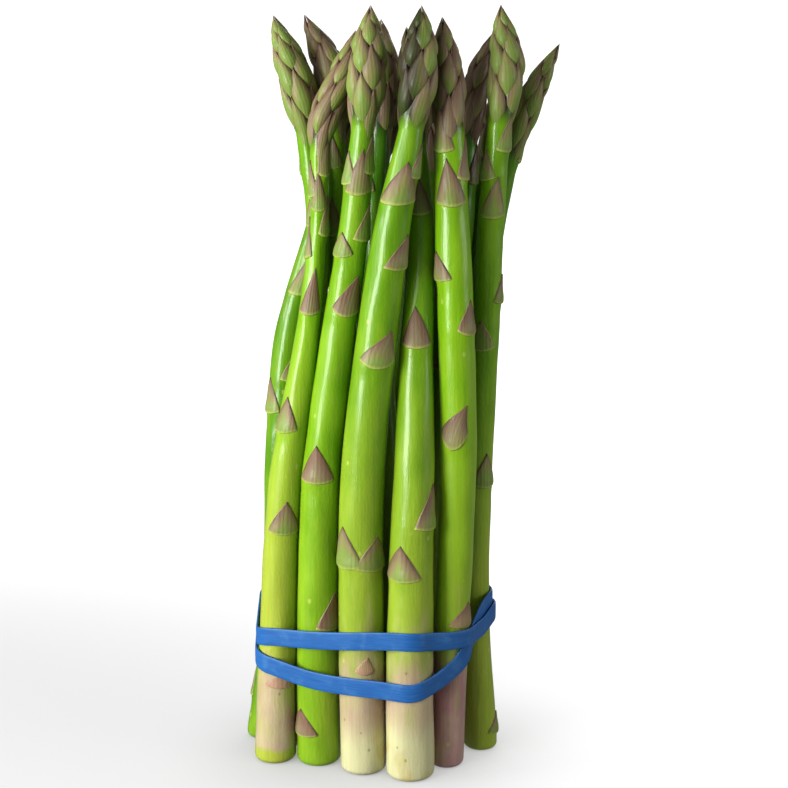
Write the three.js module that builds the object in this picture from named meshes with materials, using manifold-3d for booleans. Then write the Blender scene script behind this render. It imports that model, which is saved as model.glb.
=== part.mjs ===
// A bunch of fifteen green asparagus spears, tied low down by one wide rubber band that is wound twice
// round them. The bunch stands on its cut ends. Millimetres, +Z up, the front is the -Y side, and the
// origin is on the ground under the middle of the bunch.

import * as THREE from 'three';
import { mergeVertices } from 'three/addons/utils/BufferGeometryUtils.js';
import { ConvexGeometry } from 'three/addons/geometries/ConvexGeometry.js';
import Module from 'manifold-3d';

const manifold = await Module();
manifold.setup();

// --- driving dimensions ---------------------------------------------------------------------------

// Places across the ground are given from a point near the bunch's front; this is its middle from there.
const BUNCH_MIDDLE = { x: 1.2, y: 25.69 };

// Heights at which every spear's lean is given (the last is above every tip), and its stem radius.
const LEAN_LEVELS = [0, 45, 90, 130, 165, 195, 212, 230];
const GIRTH_LEVELS = [0, 45, 100, 150, 175];

const STEM = { sides: 9, ringSpacing: 24, footBevel: 1.2 };

// A stem scale is a pointed leaf pressed to the stem. It stands proud at its foot line, which sags
// between two corners `halfSpan` degrees to each side, and its root lies deep in the stem.
const BRACT = { halfSpan: 54, proud: 0.75, tipProud: 0.35, sag: 0.9, rootDepth: 0.55, rootRise: 0.3 };

// The head swells above the neck and closes to a point; a slim core carries its spiral of scales.
const HEAD = { length: 34, swellAt: 0.36, closing: 2.5, coreShare: 0.74, coreRings: [0.36, 0.75] };

// A head scale is a kite with a keel, shorter towards the tip of the spear. Its foot and sides are
// given as shares of the head's radius, and its keel and tip as what they stand off it.
const SCALE = {
  count: 16, turn: 137.5, crowding: 0.85, longest: 14.5, shortest: 8, belowNeck: 6, belowTip: 7.5,
  halfSpan: 45, widestAt: 0.4, footShare: 0.86, sideShare: 0.92, rootShare: 0.3, keel: 0.6, lift: 0.4,
};
const SPIRAL_START_STEP = 50;

const BAND = { width: 5.6, thickness: 0.8, clearance: 0.7, steps: 64, directions: 360 };

// Height of the band's middle line along its two turns. Each stop is [turns run so far, height]: a turn
// starts at the left side, runs along the front, round the right side and back along the rear. The
// first turn dips at the front, climbs at the right and comes back to the left above the second.
const BAND_CLIMB = [
  [0.0, 37.0], [0.085, 34.2], [0.125, 32.4], [0.2, 29.4], [0.3, 29.0], [0.365, 29.2], [0.437, 34.4],
  [0.465, 40.8], [0.5, 46.4], [0.53, 48.6], [0.58, 49.2], [0.64, 49.4], [0.75, 49.8], [0.9, 47.8],
  [1.0, 44.6], [1.085, 40.4], [1.125, 41.4], [1.2, 42.2], [1.345, 44.8], [1.43, 42.9],
  [1.5, 43.0], [1.55, 45.0], [1.62, 43.2], [1.7, 41.2], [1.85, 39.2],
];

// Where the second turn crosses over the first: it lies outside it between these two places.
const CROSSING = { from: 1.385, to: 1.7, ramp: 0.05, lift: 1.1 };

// x, y:  places of the middle of the stem at LEAN_LEVELS
// girth: stem radius at GIRTH_LEVELS, then neck and head radius
// tip:   height of the tip
// bracts: [height of the foot line's corners, facing, length], and then, where they are unusual, how
//         far round its tip leans, its half-span and its sag; facing 0 is the front, 90 the right side
const SPEARS = [
  { // front left
    x: [-37, -35.6, -32.7, -26.4, -22.3, -20.9, -14.6, -8.8],
    y: [18.8, 20.2, 20.4, 20.6, 21.7, 23, 24.4, 25],
    girth: [6.5, 5.6, 4.9, 3.0, 2.6], neck: 2.8, head: 4.7, tip: 223,
    bracts: [
      [25.7, 25, 4.4], [74.5, 12, 9], [106, -40, 10], [141.5, 0, 12.5], [158, -80, 11], [164.5, 62, 11],
      [172, 0, 10.5], [176, -62, 10], [182, 46, 12],
    ],
  },
  { // front, second from the left
    x: [-23.4, -23.4, -22, -17.2, -11.9, -9.1, -7.6, -6.6],
    y: [17.2, 17, 17, 17, 16.3, 15.6, 15, 15],
    girth: [6.8, 6.2, 5.6, 4.8, 4.2], neck: 3.2, head: 5.5, tip: 230.3,
    bracts: [
      [10.6, -56, 7.4], [45, 55, 11], [91.5, -16, 11, -8], [143.5, 22, 10, 22, 58, 2.6],
      [159.5, -48, 6.5], [164, 60, 10], [177.6, 4, 12.4, 12], [180.5, -66, 9], [183.5, 60, 10.5, 10],
    ],
  },
  { // front, third from the left
    x: [-9.4, -9.9, -9.5, -5.7, -0.9, 4.7, 7.1, 7.7],
    y: [10.8, 11.8, 12, 12, 12, 12, 12, 12],
    girth: [7.0, 6.9, 6.5, 5.7, 5.0], neck: 3.5, head: 5.4, tip: 230.4,
    bracts: [
      [33.8, 8, 4.2, 10, 24], [66.5, -52, 11.5], [66, 42, 10], [129.5, 14, 8.5, 32, 58, 2.8],
      [156.5, 50, 9, 14], [175.4, 5, 10.6, 10], [182.5, 76, 9],
    ],
  },
  { // front-most, leaning back behind its neighbours
    x: [5.0, 4.8, 5.8, 6.7, 7.6, 6.2, 4.8, 3],
    y: [6.5, 7.9, 10.3, 14.8, 21.5, 25.8, 26.6, 27],
    girth: [7.4, 7.0, 5.9, 4.3, 3.8], neck: 3.0, head: 4.3, tip: 224,
    bracts: [[63.6, -33, 10.2], [79, 62, 12.5], [133, -3, 11.5, -10], [171, 0, 10]],
  },
  { // front, second from the right
    x: [16.2, 17.6, 19.1, 18.6, 17, 16.2, 15.2, 13.4],
    y: [14.4, 14.8, 15, 15, 16, 18.2, 19, 19],
    girth: [5.3, 5.3, 5.5, 5.3, 4.9], neck: 4.2, head: 4.8, tip: 227,
    bracts: [
      [46.6, 45, 6.8, 12], [106.5, -18, 8.2, 42, 47, 5.2], [137.4, 45, 8.6, 15, 44, 1.8], [152.5, -66, 7.6],
      [174.4, -3, 12.8, -12], [181.5, 76, 12], [189.6, -46, 12],
    ],
  },
  { // right
    x: [27.4, 25, 25.5, 27.2, 28.6, 30.8, 32.7, 30.8],
    y: [27.6, 28.8, 28.8, 27.6, 26.3, 25, 25, 25],
    girth: [5.4, 4.8, 4.6, 4.2, 3.8], neck: 3.5, head: 5.1, tip: 230.2,
    bracts: [
      [6, 84, 5.6], [86.5, 35, 10], [129.5, -20, 8], [143.5, 82, 8], [169.4, 0, 11, 8], [180.5, -58, 8.5],
      [188.8, 48, 9.4],
    ],
  },
  { // left rear
    x: [-42, -36.5, -35.6, -32.4, -22.6, -15, -12.8, -12],
    y: [36.4, 37.8, 38.8, 41, 43.4, 46, 47, 47],
    girth: [5.3, 5.0, 4.6, 4.1, 3.9], neck: 3.3, head: 4.6, tip: 213,
    bracts: [[14, -120, 9], [62, -170, 10], [107, -60, 10], [117, 46, 9], [143.8, 8, 13], [168, 170, 10]],
  },
  { // middle row, its head leaning out to the left
    x: [-29.3, -27.6, -26.2, -24.8, -22.8, -26.2, -29.6, -36.2],
    y: [31, 31.4, 31.4, 30.4, 29.4, 29.6, 30, 30],
    girth: [5.7, 5.3, 4.8, 3.7, 3.2], neck: 3.0, head: 5.3, tip: 227,
    bracts: [[38, -110, 9], [88, -60, 10], [132, 160, 9], [166, -10, 10], [181, -140, 10]],
  },
  { // middle row, its head leaning a little to the left
    x: [-16.2, -15, -14.8, -15.3, -17.2, -17.6, -19, -28],
    y: [29.8, 29.8, 30.6, 32.2, 34.6, 35.4, 36.2, 36.6],
    girth: [5.7, 5.3, 4.8, 3.6, 3.0], neck: 2.9, head: 5.6, tip: 227,
    bracts: [[55, 150, 9], [110, 30, 10], [156.5, 40, 8], [163, -20, 11], [183, -15, 9]],
  },
  { // middle row, upright
    x: [-2.6, -2.8, -3.6, -5, -5.8, -4.2, -3, -4.2],
    y: [25.9, 26.2, 27.2, 29.4, 31.6, 33.4, 34, 34],
    girth: [5.8, 5.5, 5.0, 4.3, 3.9], neck: 3.3, head: 4.7, tip: 226,
    bracts: [[60, 120, 9], [120, -20, 10], [150, 100, 10], [176, -60, 10]],
  },
  { // middle row, leaning right behind the pair on the right
    x: [10.9, 11.5, 13.2, 15.4, 19.8, 22.2, 26, 33],
    y: [27.8, 28.5, 31, 34, 36, 36.6, 37, 37],
    girth: [5.5, 5.2, 5.0, 4.6, 4.0], neck: 3.3, head: 4.4, tip: 222.5,
    bracts: [[58, 170, 9], [122, 20, 10], [152, 150, 10], [178, 66, 10.5]],
  },
  { // right rear, its head leaning far out to the right
    x: [20.5, 21.6, 23.6, 26.4, 30, 37.8, 45.2, 56.4],
    y: [40, 39.5, 38.5, 38, 37.6, 37.6, 37.8, 38],
    girth: [5.3, 5.0, 4.6, 3.9, 3.5], neck: 3.0, head: 4.3, tip: 218.6,
    bracts: [[24, 130, 9], [70, 100, 10], [112, 165, 10], [148, 80, 10], [172, -170, 10], [184, 100, 9]],
  },
  { // rear left
    x: [-28.4, -26.8, -23, -15.5, -8.4, -2.2, -0.2, 0],
    y: [43.6, 44.2, 45.2, 46, 46.8, 47.9, 48.3, 48.3],
    girth: [5.5, 5.2, 4.7, 4.1, 3.7], neck: 3.2, head: 4.5, tip: 215,
    bracts: [[20, -150, 10], [66, 150, 10], [104, -160, 11], [138, 175, 11], [166, 130, 10]],
  },
  { // rear middle
    x: [-13.4, -10.5, -3.6, 5.2, 10.3, 11.2, 11.6, 12],
    y: [43, 43.2, 43.8, 44.4, 45, 45.2, 45.4, 45.4],
    girth: [5.6, 5.5, 5.4, 5.5, 4.8], neck: 3.6, head: 4.6, tip: 213.5,
    bracts: [[20, 170, 9], [84, -150, 10], [118, 165, 11], [154, -165, 11], [174, 140, 10]],
  },
  { // rear right
    x: [4.4, 6.6, 13, 20.2, 26, 31.8, 34.8, 35.4],
    y: [40, 40.6, 43.4, 45.8, 46.4, 47.2, 47.6, 47.6],
    girth: [5.6, 5.3, 4.8, 4.4, 4.1], neck: 3.7, head: 4.8, tip: 214,
    bracts: [[16, 165, 9], [60, -165, 10], [98, 155, 11], [132, -170, 10], [162, 160, 10]],
  },
];

// --- materials -------------------------------------------------------------------------------------

const spearSkin = new THREE.MeshStandardMaterial({ color: 0x86b52c, roughness: 0.42, metalness: 0 });
const bandRubber = new THREE.MeshStandardMaterial({ color: 0x1d5fc0, roughness: 0.6, metalness: 0 });

// --- curves ----------------------------------------------------------------------------------------

// Smooth value at `at` through the values given at rising places: a cubic between each pair of places,
// whose slope at a place is that of the chord between its two neighbours.
function smoothValue(places, values, at) {
  const last = places.length - 1;
  const place = THREE.MathUtils.clamp(at, places[0], places[last]);
  let k = 0;
  while (k < last - 1 && place > places[k + 1]) k += 1;
  const slope = (i) => {
    const low = Math.max(i - 1, 0);
    const high = Math.min(i + 1, last);
    return (values[high] - values[low]) / (places[high] - places[low]);
  };
  const span = places[k + 1] - places[k];
  const rise = values[k + 1] - values[k];
  const t = (place - places[k]) / span;
  const startPull = slope(k) * span - rise;
  const endPull = rise - slope(k + 1) * span;
  return values[k] + rise * t + t * (1 - t) * ((1 - t) * startPull + t * endPull);
}

// Point of a spear at a height, an angle round it (0 front, 90 right) and a distance from its middle.
function pointOn(spear, height, facing, distance) {
  const angle = THREE.MathUtils.degToRad(facing);
  const x = smoothValue(LEAN_LEVELS, spear.x, height) - BUNCH_MIDDLE.x;
  const y = smoothValue(LEAN_LEVELS, spear.y, height) - BUNCH_MIDDLE.y;
  return new THREE.Vector3(x + distance * Math.sin(angle), y - distance * Math.cos(angle), height);
}

const neckHeight = (spear) => spear.tip - HEAD.length;

// Stem radius: from foot to neck through the measured girths.
function stemRadius(spear, height) {
  const places = [...GIRTH_LEVELS, neckHeight(spear)];
  return smoothValue(places, [...spear.girth, spear.neck], height);
}

// Head radius with its scales on: it swells above the neck and closes to a pointed tip.
function headRadius(spear, height) {
  const t = THREE.MathUtils.clamp((height - neckHeight(spear)) / HEAD.length, 0, 1);
  if (t < HEAD.swellAt) {
    return THREE.MathUtils.lerp(spear.neck, spear.head, Math.sin((t / HEAD.swellAt) * Math.PI / 2));
  }
  const closing = (t - HEAD.swellAt) / (1 - HEAD.swellAt);
  return spear.head * (1 - closing ** HEAD.closing);
}

// --- solids ----------------------------------------------------------------------------------------

function toSolid(geometry) {
  const bare = geometry.clone();
  bare.deleteAttribute('normal');
  bare.deleteAttribute('uv');
  const merged = mergeVertices(bare, 1e-4);
  return new manifold.Manifold(new manifold.Mesh({
    numProp: 3,
    vertProperties: Float32Array.from(merged.attributes.position.array),
    triVerts: Uint32Array.from(merged.index.array),
  }));
}

function toGeometry(solid) {
  const mesh = solid.getMesh();
  const geometry = new THREE.BufferGeometry();
  geometry.setAttribute('position', new THREE.BufferAttribute(Float32Array.from(mesh.vertProperties), 3));
  geometry.setIndex(new THREE.BufferAttribute(Uint32Array.from(mesh.triVerts), 1));
  geometry.computeVertexNormals();
  return geometry;
}

// Stem and head core: a turned profile, bent so that its axis follows the spear's lean.
function stemAndCore(spear) {
  const neck = neckHeight(spear);
  const profile = [new THREE.Vector2(0, 0), new THREE.Vector2(spear.girth[0] - STEM.footBevel, 0)];
  const steps = Math.round(neck / STEM.ringSpacing);
  for (let i = 0; i <= steps; i += 1) {
    const height = THREE.MathUtils.lerp(STEM.footBevel, neck, i / steps);
    profile.push(new THREE.Vector2(stemRadius(spear, height), height));
  }
  for (const share of HEAD.coreRings) {
    const height = neck + share * HEAD.length;
    profile.push(new THREE.Vector2(HEAD.coreShare * headRadius(spear, height), height));
  }
  profile.push(new THREE.Vector2(0, spear.tip));
  const geometry = new THREE.LatheGeometry(profile, STEM.sides).rotateX(Math.PI / 2);
  const position = geometry.attributes.position;
  for (let i = 0; i < position.count; i += 1) {
    const middle = pointOn(spear, position.getZ(i), 0, 0);
    position.setXY(i, position.getX(i) + middle.x, position.getY(i) + middle.y);
  }
  return toSolid(geometry);
}

// Stem scale: a triangle wrapped on the stem, with its lower edge sagging between its two corners.
function bractSolid(spear, [height, facing, length, lean = 0, halfSpan = BRACT.halfSpan, sag = BRACT.sag]) {
  const points = [];
  for (const side of [-1, -0.5, 0, 0.5, 1]) {
    const edge = height - sag * (1 - side * side);
    const proud = Math.abs(side) === 1 ? 0 : BRACT.proud;
    points.push(pointOn(spear, edge, facing + side * halfSpan, stemRadius(spear, edge) + proud));
  }
  const top = height + length;
  const root = height + BRACT.rootRise * length;
  points.push(pointOn(spear, top, facing + lean, stemRadius(spear, top) + BRACT.tipProud));
  points.push(pointOn(spear, root, facing, (1 - BRACT.rootDepth) * stemRadius(spear, height)));
  return toSolid(new ConvexGeometry(points));
}

// Head scale: a kite with a keel, pointed below and above, its tip lifted off the scale over it.
// `climb` runs from 0 at the neck to 1 at the last scale.
function scaleSolid(spear, climb, facing) {
  const length = THREE.MathUtils.lerp(SCALE.longest, SCALE.shortest, climb);
  const lowest = neckHeight(spear) - SCALE.belowNeck;
  const foot = THREE.MathUtils.lerp(lowest, spear.tip - SCALE.belowTip, climb);
  const top = Math.min(foot + length, spear.tip);
  const wide = THREE.MathUtils.lerp(foot, top, SCALE.widestAt);
  const girth = headRadius(spear, wide);
  return toSolid(new ConvexGeometry([
    pointOn(spear, foot, facing, headRadius(spear, foot) * SCALE.footShare),
    pointOn(spear, wide, facing - SCALE.halfSpan, girth * SCALE.sideShare),
    pointOn(spear, wide, facing + SCALE.halfSpan, girth * SCALE.sideShare),
    pointOn(spear, wide, facing, girth + SCALE.keel),
    pointOn(spear, top, facing, headRadius(spear, top) + SCALE.lift),
    pointOn(spear, wide, facing, girth * SCALE.rootShare),
  ]));
}

function spearMesh(spear, index) {
  const solids = [stemAndCore(spear), ...spear.bracts.map((bract) => bractSolid(spear, bract))];
  for (let i = 0; i < SCALE.count; i += 1) {
    const climb = (i / (SCALE.count - 1)) ** SCALE.crowding;
    solids.push(scaleSolid(spear, climb, index * SPIRAL_START_STEP + i * SCALE.turn));
  }
  const grown = solids.reduce((whole, piece) => whole.add(piece));
  const mesh = new THREE.Mesh(toGeometry(grown), spearSkin);
  mesh.name = `spear_${String(index + 1).padStart(2, '0')}`;
  return mesh;
}

// --- band ------------------------------------------------------------------------------------------

// Outline that a stretched belt takes round the stems at a height, `away` from their skin: in each
// direction the spear that reaches furthest. It starts at the left and runs over the front to the right.
function beltOutline(height, away) {
  const stems = SPEARS.map((spear) => ({
    middle: pointOn(spear, height, 0, 0),
    reach: stemRadius(spear, height) + away,
  }));
  const points = [];
  for (let i = 0; i <= BAND.directions; i += 1) {
    const angle = Math.PI + (i / BAND.directions) * 2 * Math.PI;
    const out = new THREE.Vector3(Math.cos(angle), Math.sin(angle), 0);
    const reachOf = (stem) => stem.middle.dot(out) + stem.reach;
    const furthest = stems.reduce((best, stem) => (reachOf(stem) > reachOf(best) ? stem : best));
    points.push(furthest.middle.clone().addScaledVector(out, furthest.reach));
  }
  return points;
}

// Point at a share of an outline's length, by straight lines between its points.
function pointAtShare(outline, share) {
  const lengths = outline.slice(1).map((point, i) => point.distanceTo(outline[i]));
  let rest = share * lengths.reduce((sum, length) => sum + length, 0);
  let k = 0;
  while (k < lengths.length - 1 && rest > lengths[k]) {
    rest -= lengths[k];
    k += 1;
  }
  return outline[k].clone().lerp(outline[k + 1], Math.min(rest / lengths[k], 1));
}

// How far the second turn stands off the first where it crosses over it: a rise, a level and a fall.
function crossingLift(turns) {
  const rise = THREE.MathUtils.smoothstep(turns, CROSSING.from, CROSSING.from + CROSSING.ramp);
  const fall = THREE.MathUtils.smoothstep(turns, CROSSING.to - CROSSING.ramp, CROSSING.to);
  return CROSSING.lift * (rise - fall);
}

// Height of the band's middle line after some turns; the climb closes on itself after two.
function bandHeight(turns) {
  const stops = [-2, 0, 2].flatMap((lap) => BAND_CLIMB.map(([at, height]) => [at + lap, height]));
  return smoothValue(stops.map((stop) => stop[0]), stops.map((stop) => stop[1]), turns);
}

// The band's middle line: two turns round the bunch, closed on themselves.
function bandLine() {
  const count = 2 * BAND.steps;
  return Array.from({ length: count }, (_, i) => {
    const turns = (2 * i) / count;
    const height = bandHeight(turns);
    const away = BAND.clearance + BAND.thickness / 2 + crossingLift(turns);
    return pointAtShare(beltOutline(height, away), turns % 1).setZ(height);
  });
}

// Band: a flat oblong section carried along the line, its flat side kept on the stems.
function bandMesh() {
  const line = bandLine();
  const up = new THREE.Vector3(0, 0, 1);
  const corners = [[-1, -1], [1, -1], [1, 1], [-1, 1]];
  const positions = [];
  line.forEach((point, i) => {
    const before = line[(i + line.length - 1) % line.length];
    const after = line[(i + 1) % line.length];
    const along = after.clone().sub(before).normalize();
    const out = along.clone().cross(up).normalize();
    const across = out.clone().cross(along).normalize();
    for (const [outward, upward] of corners) {
      const corner = point.clone()
        .addScaledVector(out, (outward * BAND.thickness) / 2)
        .addScaledVector(across, (upward * BAND.width) / 2);
      positions.push(corner.x, corner.y, corner.z);
    }
  });
  const indices = [];
  line.forEach((_, i) => {
    const next = (i + 1) % line.length;
    corners.forEach((__, c) => {
      const d = (c + 1) % corners.length;
      const [a, b] = [i * 4 + c, i * 4 + d];
      const [e, f] = [next * 4 + c, next * 4 + d];
      indices.push(a, e, b, b, e, f);
    });
  });
  const geometry = new THREE.BufferGeometry();
  geometry.setAttribute('position', new THREE.Float32BufferAttribute(positions, 3));
  geometry.setIndex(indices);
  geometry.computeVertexNormals();
  const mesh = new THREE.Mesh(geometry, bandRubber);
  mesh.name = 'rubber_band';
  return mesh;
}

// --- the bunch -------------------------------------------------------------------------------------

const bunch = new THREE.Group();
SPEARS.forEach((spear, index) => bunch.add(spearMesh(spear, index)));
bunch.add(bandMesh());

export default bunch;
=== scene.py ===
"""A bunch of green asparagus that stands on its cut ends, tied by a blue rubber band wound twice.

Shapes are worked out in millimetres and turned into metres when a mesh is made. +Z is up, the front is
the -Y side, and the ground is z = 0. A facing is an angle round a spear: 0 is the front, 90 the right.
"""

import logging
from dataclasses import dataclass
from enum import Enum
from math import pi, radians

import bpy
import numpy as np
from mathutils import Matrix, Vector


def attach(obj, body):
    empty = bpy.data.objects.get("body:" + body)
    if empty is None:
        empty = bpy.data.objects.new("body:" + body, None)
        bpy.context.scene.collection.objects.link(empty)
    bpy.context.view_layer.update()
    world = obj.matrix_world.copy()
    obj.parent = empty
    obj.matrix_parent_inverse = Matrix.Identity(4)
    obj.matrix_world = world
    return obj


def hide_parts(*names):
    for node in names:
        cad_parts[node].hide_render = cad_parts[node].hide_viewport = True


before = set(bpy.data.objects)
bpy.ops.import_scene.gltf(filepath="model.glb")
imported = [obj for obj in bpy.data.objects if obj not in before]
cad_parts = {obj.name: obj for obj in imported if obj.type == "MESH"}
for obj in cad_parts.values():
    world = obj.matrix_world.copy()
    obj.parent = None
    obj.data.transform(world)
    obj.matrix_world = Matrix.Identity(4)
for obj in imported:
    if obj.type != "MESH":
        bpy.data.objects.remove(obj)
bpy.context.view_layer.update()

METRES = 0.001
log = logging.getLogger("bunch")

Array = np.ndarray
Colour = Point = tuple[float, float, float]

# Places across the ground are given from a point near the bunch's front; this is its middle from there.
BUNCH_MIDDLE = (1.2, 25.69)

# Heights at which every spear's lean is given, up to about the highest tip, and its stem radius.
LEAN_LEVELS = (0, 45, 90, 130, 165, 195, 212, 230)
GIRTH_LEVELS = (0, 45, 100, 150, 175)
HEAD_LENGTH = 34.0


# --- curves ---


def smooth_value(places: tuple[float, ...], values: tuple[float, ...], at: Array) -> Array:
    """Smooth value through values given at rising places.

    Between two places it is a cubic whose slope at each place is that of the chord between the place's
    two neighbours.

    Args:
        places: rising places.
        values: the value at each place.
        at: where the value is wanted.

    Returns:
        The value at each of them, held level past the ends.
    """
    knots, heights = np.asarray(places, float), np.asarray(values, float)
    last = len(knots) - 1
    low, high = np.maximum(np.arange(last + 1) - 1, 0), np.minimum(np.arange(last + 1) + 1, last)
    slopes = (heights[high] - heights[low]) / (knots[high] - knots[low])
    place = np.clip(np.asarray(at, float), knots[0], knots[-1])
    k = np.clip(np.searchsorted(knots, place, side="left") - 1, 0, last - 1)
    span, rise = knots[k + 1] - knots[k], heights[k + 1] - heights[k]
    t = (place - knots[k]) / span
    start_pull, end_pull = slopes[k] * span - rise, rise - slopes[k + 1] * span
    return heights[k] + rise * t + t * (1 - t) * ((1 - t) * start_pull + t * end_pull)


def smoothstep(low: float, high: float, at: Array) -> Array:
    """S-curve from 0 at `low` to 1 at `high`: 3t^2 - 2t^3."""
    t = np.clip((np.asarray(at, float) - low) / (high - low), 0, 1)
    return t * t * (3 - 2 * t)


def bell(at: Array, middle: float, width: float) -> Array:
    """Bell curve of height 1: exp(-((at - middle) / width)^2)."""
    return np.exp(-(((np.asarray(at, float) - middle) / width) ** 2))


def angle_between(a: Array, b: float) -> Array:
    """Smallest turn in degrees from b to a, between -180 and 180."""
    return (np.asarray(a, float) - b + 180) % 360 - 180


# --- meshes ---


class Field(Enum):
    """Numbers stored on the points of a piece, for its material.

    SCALE is 1 on a scale and 0 on a stem, and CORE_SHADE is 1 under the scales of a head, where the
    core is painted dark as shade. ALONG and ACROSS run from foot to tip and from middle to margin of a
    scale, or along and across the band. GRAIN counts the veins of a scale. The others say how blushed
    (FOOT), pale, violet, mauve, bright (TONE_AND_SHADE) and yellow (RIPE) the skin is; the brightness
    is also lowered as painted shade on the dark side of some heads and on spears hidden in the bunch.
    """

    SCALE = "scale"
    CORE_SHADE = "core"
    ALONG = "along"
    ACROSS = "across"
    FOOT = "foot"
    PALE = "pale"
    VIOLET = "violet"
    MAUVE = "mauve"
    TONE_AND_SHADE = "tone"
    RIPE = "ripe"
    GRAIN = "grain"


@dataclass
class Tube:
    """A closed surface made of rings of points, one after another.

    Attributes:
        rings: points in millimetres, shaped (rings, points in a ring, 3).
        fields: numbers on the points, each of which spreads over (rings, points in a ring).
        looped: whether the last ring joins the first; otherwise both ends are capped.
    """

    rings: Array
    fields: dict[Field, Array | float]
    looped: bool = False

    @property
    def ends(self) -> int:
        """Number of its capped ends."""
        return 0 if self.looped else 2

    def faces(self) -> tuple[Array, Array]:
        """Joins ring to ring with quads, and caps the ends with triangles to a middle point.

        Returns:
            The quads and the triangles, as arrays of point numbers that face outwards.
        """
        count, size = self.rings.shape[:2]
        row = np.arange(count if self.looped else count - 1)[:, None] * size
        edge = np.arange(size)
        after, beside = (row + size) % (count * size), (edge + 1) % size
        corners = [row + edge, row + beside, after + beside, after + edge]
        quads = np.stack(corners, axis=-1).reshape(-1, 4)
        middle, last = np.full(size, count * size), (count - 1) * size
        start = np.stack([middle, beside, edge], axis=-1)
        end = np.stack([middle + 1, last + edge, last + beside], axis=-1)
        caps = np.concatenate([start, end])[: size * self.ends]
        if self.signed_volume(quads, caps) < 0:
            quads, caps = quads[:, ::-1], caps[:, ::-1]
        return quads, caps

    def with_middles(self, grid: Array) -> Array:
        """What the rings' points have, ring after ring, then the mean of each capped end."""
        middles = grid[[0, -1]].mean(axis=1)[: self.ends]
        return np.concatenate([grid.reshape(-1, *grid.shape[2:]), middles])

    def points(self) -> Array:
        """All the rings' points, then the middle of each capped end."""
        return self.with_middles(self.rings)

    def values(self, field: Field) -> Array:
        """A field's numbers in the order of the points, 0 where the tube hasn't got it."""
        numbers = np.broadcast_to(self.fields.get(field, 0.0), self.rings.shape[:2])
        return self.with_middles(numbers.astype(float))

    def signed_volume(self, quads: Array, caps: Array) -> float:
        """Adds up the signed volumes from the middle to each triangle.

        Args:
            quads, caps: the faces, as point numbers.

        Returns:
            The volume, more than 0 if the faces point outwards.
        """
        points = self.points() - self.points().mean(axis=0)
        triangles = np.concatenate([quads[:, [0, 1, 2]], quads[:, [0, 2, 3]], caps])
        a, b, c = (points[triangles[:, corner]] for corner in range(3))
        return float(np.einsum("ij,ij->i", a, np.cross(b, c)).sum() / 6)


def add_object(name: str, data: bpy.types.ID) -> bpy.types.Object:
    """Puts a new object in the scene.

    Args:
        name: its name.
        data: its mesh, light or camera.

    Returns:
        The object, at the origin, unturned and unscaled.
    """
    made = bpy.data.objects.new(name, data)
    bpy.context.scene.collection.objects.link(made)
    return made


def make_piece(name: str, tubes: list[Tube], fields: list[Field]) -> bpy.types.Object:
    """Makes one smooth mesh object of several closed tubes.

    Args:
        name: the piece's name.
        tubes: its surfaces, in millimetres.
        fields: which fields are stored on its points.

    Returns:
        The object, at the origin, unturned and unscaled.
    """
    points = [tube.points() for tube in tubes]
    starts = np.cumsum([0] + [len(each) for each in points])
    faces = [tube.faces() for tube in tubes]
    quads = np.concatenate([each[0] + start for each, start in zip(faces, starts)])
    caps = np.concatenate([each[1] + start for each, start in zip(faces, starts)])
    mesh = bpy.data.meshes.new(name)
    mesh.vertices.add(starts[-1])
    mesh.vertices.foreach_set("co", (np.concatenate(points) * METRES).ravel())
    mesh.loops.add(quads.size + caps.size)
    mesh.loops.foreach_set("vertex_index", np.concatenate([quads.ravel(), caps.ravel()]))
    sizes = np.concatenate([np.full(len(quads), 4), np.full(len(caps), 3)])
    mesh.polygons.add(len(sizes))
    mesh.polygons.foreach_set("loop_start", np.concatenate([[0], np.cumsum(sizes)[:-1]]))
    for field in fields:
        layer = mesh.attributes.new(field.value, "FLOAT", "POINT")
        layer.data.foreach_set("value", np.concatenate([tube.values(field) for tube in tubes]))
    mesh.update(calc_edges=True)
    mesh.validate()
    mesh.shade_smooth()
    return add_object(name, mesh)


# --- shaders ---


class Socket:
    """An output of a shader node, with arithmetic that adds Math nodes."""

    def __init__(self, shader: "Shader", output: bpy.types.NodeSocket) -> None:
        """Wraps an output of one of the shader's nodes."""
        self.shader, self.output = shader, output

    def _math(self, operation: str, *values: "Socket | float") -> "Socket":
        """One Math node on this value and others."""
        return self.shader.node("ShaderNodeMath", {"operation": operation}, dict(enumerate(values)))

    def __add__(self, other: "Socket | float") -> "Socket":
        """Sum."""
        return self._math("ADD", self, other)

    def __sub__(self, other: "Socket | float") -> "Socket":
        """Difference."""
        return self._math("SUBTRACT", self, other)

    def __rsub__(self, other: float) -> "Socket":
        """Difference from a number."""
        return self._math("SUBTRACT", other, self)

    def __mul__(self, other: "Socket | float") -> "Socket":
        """Product."""
        return self._math("MULTIPLY", self, other)

    __radd__, __rmul__ = __add__, __mul__

    def between(self, low: float, high: float) -> "Socket":
        """Smooth 0 to 1 as this value goes from low to high, or 1 to 0 where low is the larger."""
        settings = {"interpolation_type": "SMOOTHSTEP", "clamp": True}
        return self.shader.node("ShaderNodeMapRange", settings, {0: self, 1: low, 2: high})

    def clamped(self) -> "Socket":
        """This value, held between 0 and 1."""
        return self.shader.node("ShaderNodeClamp", {}, {0: self})

    def swing(self, size: float) -> "Socket":
        """Noise as a swing about 0: this value less a half, times a size."""
        return (self - 0.5) * size


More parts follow.
